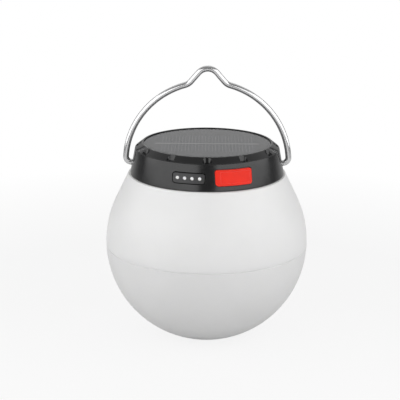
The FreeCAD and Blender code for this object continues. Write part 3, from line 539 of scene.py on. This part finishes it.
def poured_face():
    """The panel's clear face: resin poured over the cells, which falls away towards its edge."""
    bm = bmesh.new()
    outline = [(0, PANEL_FOOT), (PANEL_RADIUS, PANEL_FOOT)]
    for k in range(FALL_STEPS + 1):
        share = k / FALL_STEPS
        outline.append((PANEL_RADIUS - FALL_WIDTH * share, PANEL_TOP - FALL_DEPTH * (1 - share) ** 2))
    outline.append((0, PANEL_TOP))
    chain = [bm.verts.new((r, 0, z)) for r, z in outline]
    line = [bm.edges.new(ends) for ends in zip(chain, chain[1:])]
    bmesh.ops.spin(bm, geom=chain + line, cent=(0, 0, 0), axis=(0, 0, 1), angle=2 * math.pi, steps=128,
                   use_merge=True)
    bmesh.ops.remove_doubles(bm, verts=bm.verts, dist=HAIR)
    made = piece("poured_face", bm, "resin")
    made.visible_shadow = False
    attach(made, "lantern")
    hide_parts("solar_face")
    return made


def cell_fingers():
    """The printed silver fingers that run across each cell."""
    bm = bmesh.new()
    low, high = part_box("solar_cells")
    ribbon_low, ribbon_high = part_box("cell_ribbon")
    count = int((high.x - low.x - 2 * CELL_MARGIN) / FINGER_PITCH) + 1
    half = FINGER_WIDTH / 2
    for near, far in ((low.y + FINGER_MARGIN, ribbon_low.y), (ribbon_high.y, high.y - FINGER_MARGIN)):
        for k in range(count):
            x = (k - (count - 1) / 2) * FINGER_PITCH
            block(bm, (x - half, near, CELL_TOP), (x + half, far, CELL_TOP + FINGER_HEIGHT))
    made = piece("cell_fingers", bm, "tin")
    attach(made, "lantern")


def bend(bm, ring, centre, start, stop):
    """Carries a ring of edges round a centre, from one direction to another, each seen from that centre."""
    turn = math.atan2(stop.x, stop.z) - math.atan2(start.x, start.z)
    turn = (turn + math.pi) % (2 * math.pi) - math.pi
    steps = max(FEWEST_STEPS, round(abs(turn) / BEND_STEP))
    made = bmesh.ops.spin(bm, geom=ring, cent=centre, axis=(0, 1, 0), angle=turn, steps=steps)["geom_last"]
    return [part for part in made if isinstance(part, bmesh.types.BMEdge)]


def draw_out(bm, ring, way):
    """Carries a ring of edges straight on."""
    made = bmesh.ops.extrude_edge_only(bm, edges=ring)["geom"]
    moved = [part for part in made if isinstance(part, bmesh.types.BMVert)]
    bmesh.ops.translate(bm, vec=way, verts=moved)
    return [part for part in made if isinstance(part, bmesh.types.BMEdge) and set(part.verts) <= set(moved)]


def wire_bail():
    """The bail's wire, swept from the top of its crown down to one pin and then mirrored."""
    bm = bmesh.new()
    pivot = Vector((0, 0, 0))
    crown = Vector((0, 0, BAIL_RADIUS + CROWN_RISE - CROWN_RADIUS))
    flank = Vector((math.sin(FLANK), 0, math.cos(FLANK)))
    reach = crown.z * flank.z + CROWN_RADIUS + CROWN_BEND
    run = math.sqrt((BAIL_RADIUS + CROWN_BEND) ** 2 - reach ** 2)
    corner = reach * flank - run * Vector((flank.z, 0, -flank.x))
    foot = Vector((math.sqrt((BAIL_RADIUS - FOOT_BEND) ** 2 - FOOT_BEND ** 2), 0, FOOT_BEND))

    top = Matrix.Translation(crown + Vector((0, 0, CROWN_RADIUS))) @ Matrix.Rotation(math.pi / 2, 4, "Y")
    bmesh.ops.create_circle(bm, segments=36, radius=WIRE_RADIUS, matrix=top)
    ring = bend(bm, bm.edges[:], crown, Vector((0, 0, 1)), flank)
    ring = draw_out(bm, ring, corner - CROWN_BEND * flank - crown - CROWN_RADIUS * flank)
    ring = bend(bm, ring, corner, -flank, -corner)
    ring = bend(bm, ring, pivot, corner, foot)
    ring = bend(bm, ring, foot, foot, Vector((0, 0, -1)))
    ring = draw_out(bm, ring, Vector((PIN_END - foot.x, 0, 0)))
    bmesh.ops.edgeloop_fill(bm, edges=ring)
    bm.normal_update()
    round_edges(bm, ring, PIN_ROUND)

    bmesh.ops.mirror(bm, geom=bm.verts[:] + bm.edges[:] + bm.faces[:], axis="X", merge_dist=TOUCHING)
    bmesh.ops.translate(bm, vec=(0, 0, PIVOT), verts=bm.verts)
    made = piece("wire_bail", bm, "steel_wire")
    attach(made, "bail")
    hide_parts("bail_wire")


rubber_cover()
light_windows()
clear_face = poured_face()
cell_fingers()
wire_bail()

# Studio


def flag_off(covered):
    """Keeps the side lamps off a piece, so that it never mirrors one of them as a white disc."""
    flagged = bpy.data.collections.new("flagged")
    flagged.objects.link(covered)
    flagged.collection_objects[0].light_linking.link_state = "EXCLUDE"
    return flagged


def side_lamp(name, side, flagged):
    """A long soft panel beside the lantern, from just off the camera to past its side."""
    light = bpy.data.lights.new(name, "AREA")
    light.shape = "RECTANGLE"
    light.size = LAMP_WIDTH
    light.size_y = LAMP_HEIGHT
    light.energy = LAMP_POWER
    lamp = bpy.data.objects.new(name, light)
    middle = Vector((LAMP_ASIDE * side, -LAMP_BEFORE, LAMP_MIDDLE))
    inward = Vector((-math.cos(LAMP_TURN) * side, math.sin(LAMP_TURN), 0.0))
    lamp.matrix_world = Matrix.Translation(middle) @ inward.to_track_quat("-Z", "Y").to_matrix().to_4x4()
    lamp.visible_camera = False
    lamp.light_linking.receiver_collection = flagged
    bpy.context.scene.collection.objects.link(lamp)


def studio_floor():
    """A pale sheet of paper that fades into the white background but for the lantern's shadow."""
    bm = bmesh.new()
    bmesh.ops.create_circle(bm, cap_ends=True, segments=96, radius=FLOOR_RADIUS)
    mesh = bpy.data.meshes.new("floor")
    bm.to_mesh(mesh)
    bm.free()
    material = bpy.data.materials.new("floor_paper")
    material.use_nodes = True
    shading = Shading(material.node_tree)
    place = shading.add("ShaderNodeTexCoord", {}, "Object")
    out = shading.add("ShaderNodeVectorMath", {0: place}, "Value", operation="LENGTH")
    white_share = shading.span(out, WHITE_LEAST, 1.0, WHITE_FROM, WHITE_TO)
    mirrored = shading.maths("MULTIPLY", shading.mirrored(), MIRRORED_WHITE)
    seen = shading.maths("MAXIMUM", shading.path("Is Camera Ray"), mirrored)
    paper = shading.add("ShaderNodeBsdfDiffuse", {"Color": (PAPER, PAPER, PAPER, 1.0)})
    white = shading.add("ShaderNodeEmission", {"Strength": 1.0})
    share = shading.maths("MULTIPLY", seen, white_share)
    mix = shading.add("ShaderNodeMixShader", {0: share, 1: paper, 2: white})
    shading.tree.links.new(mix, shading.tree.nodes["Material Output"].inputs["Surface"])
    mesh.materials.append(material)
    floor = bpy.data.objects.new("floor", mesh)
    bpy.context.scene.collection.objects.link(floor)


def studio_world():
    """A dim room, bright high at the back. The camera sees plain white, and gloss a paler back wall too."""
    world = bpy.data.worlds.new("studio")
    bpy.context.scene.world = world
    world.use_nodes = True
    shading = Shading(world.node_tree)
    way = shading.add("ShaderNodeTexCoord", {}, "Generated")
    slope = math.sqrt(0.5)
    high_back = shading.dot(way, (0.0, slope, slope))
    back = shading.dot(way, (0.0, 1.0, 0.0))
    glow = shading.span(high_back, ROOM, GLOW, GLOW_FROM, 1.0)
    rising = shading.span(back, ROOM, SWEEP, SWEEP_FROM, SWEEP_TO)
    sweep = shading.maths("MULTIPLY", rising, shading.mirrored())
    room = shading.maths("MAXIMUM", glow, sweep)
    strength = shading.maths("MAXIMUM", shading.path("Is Camera Ray"), room)
    background = shading.tree.nodes["Background"]
    background.inputs["Color"].default_value = (1.0, 1.0, 1.0, 1.0)
    shading.tree.links.new(strength, background.inputs["Strength"])


def photo_camera():
    """The photograph's viewpoint: a long lens a little above the head, looking slightly down."""
    view = bpy.data.cameras.new("photo_camera")
    view.sensor_width = SENSOR
    view.lens = LENS
    camera = bpy.data.objects.new("photo_camera", view)
    camera.matrix_world = (
        Matrix.Translation(CAMERA_PLACE) @ Matrix.Rotation(CAMERA_YAW, 4, "Z")
        @ Matrix.Rotation(math.pi / 2 - CAMERA_DOWN, 4, "X") @ Matrix.Rotation(CAMERA_ROLL, 4, "Z")
    )
    bpy.context.scene.collection.objects.link(camera)
    bpy.context.scene.camera = camera


flagged_face = flag_off(clear_face)
side_lamp("left_panel", -1, flagged_face)
side_lamp("right_panel", 1, flagged_face)
studio_floor()
studio_world()
photo_camera()
bpy.context.scene.view_settings.view_transform = "Standard"
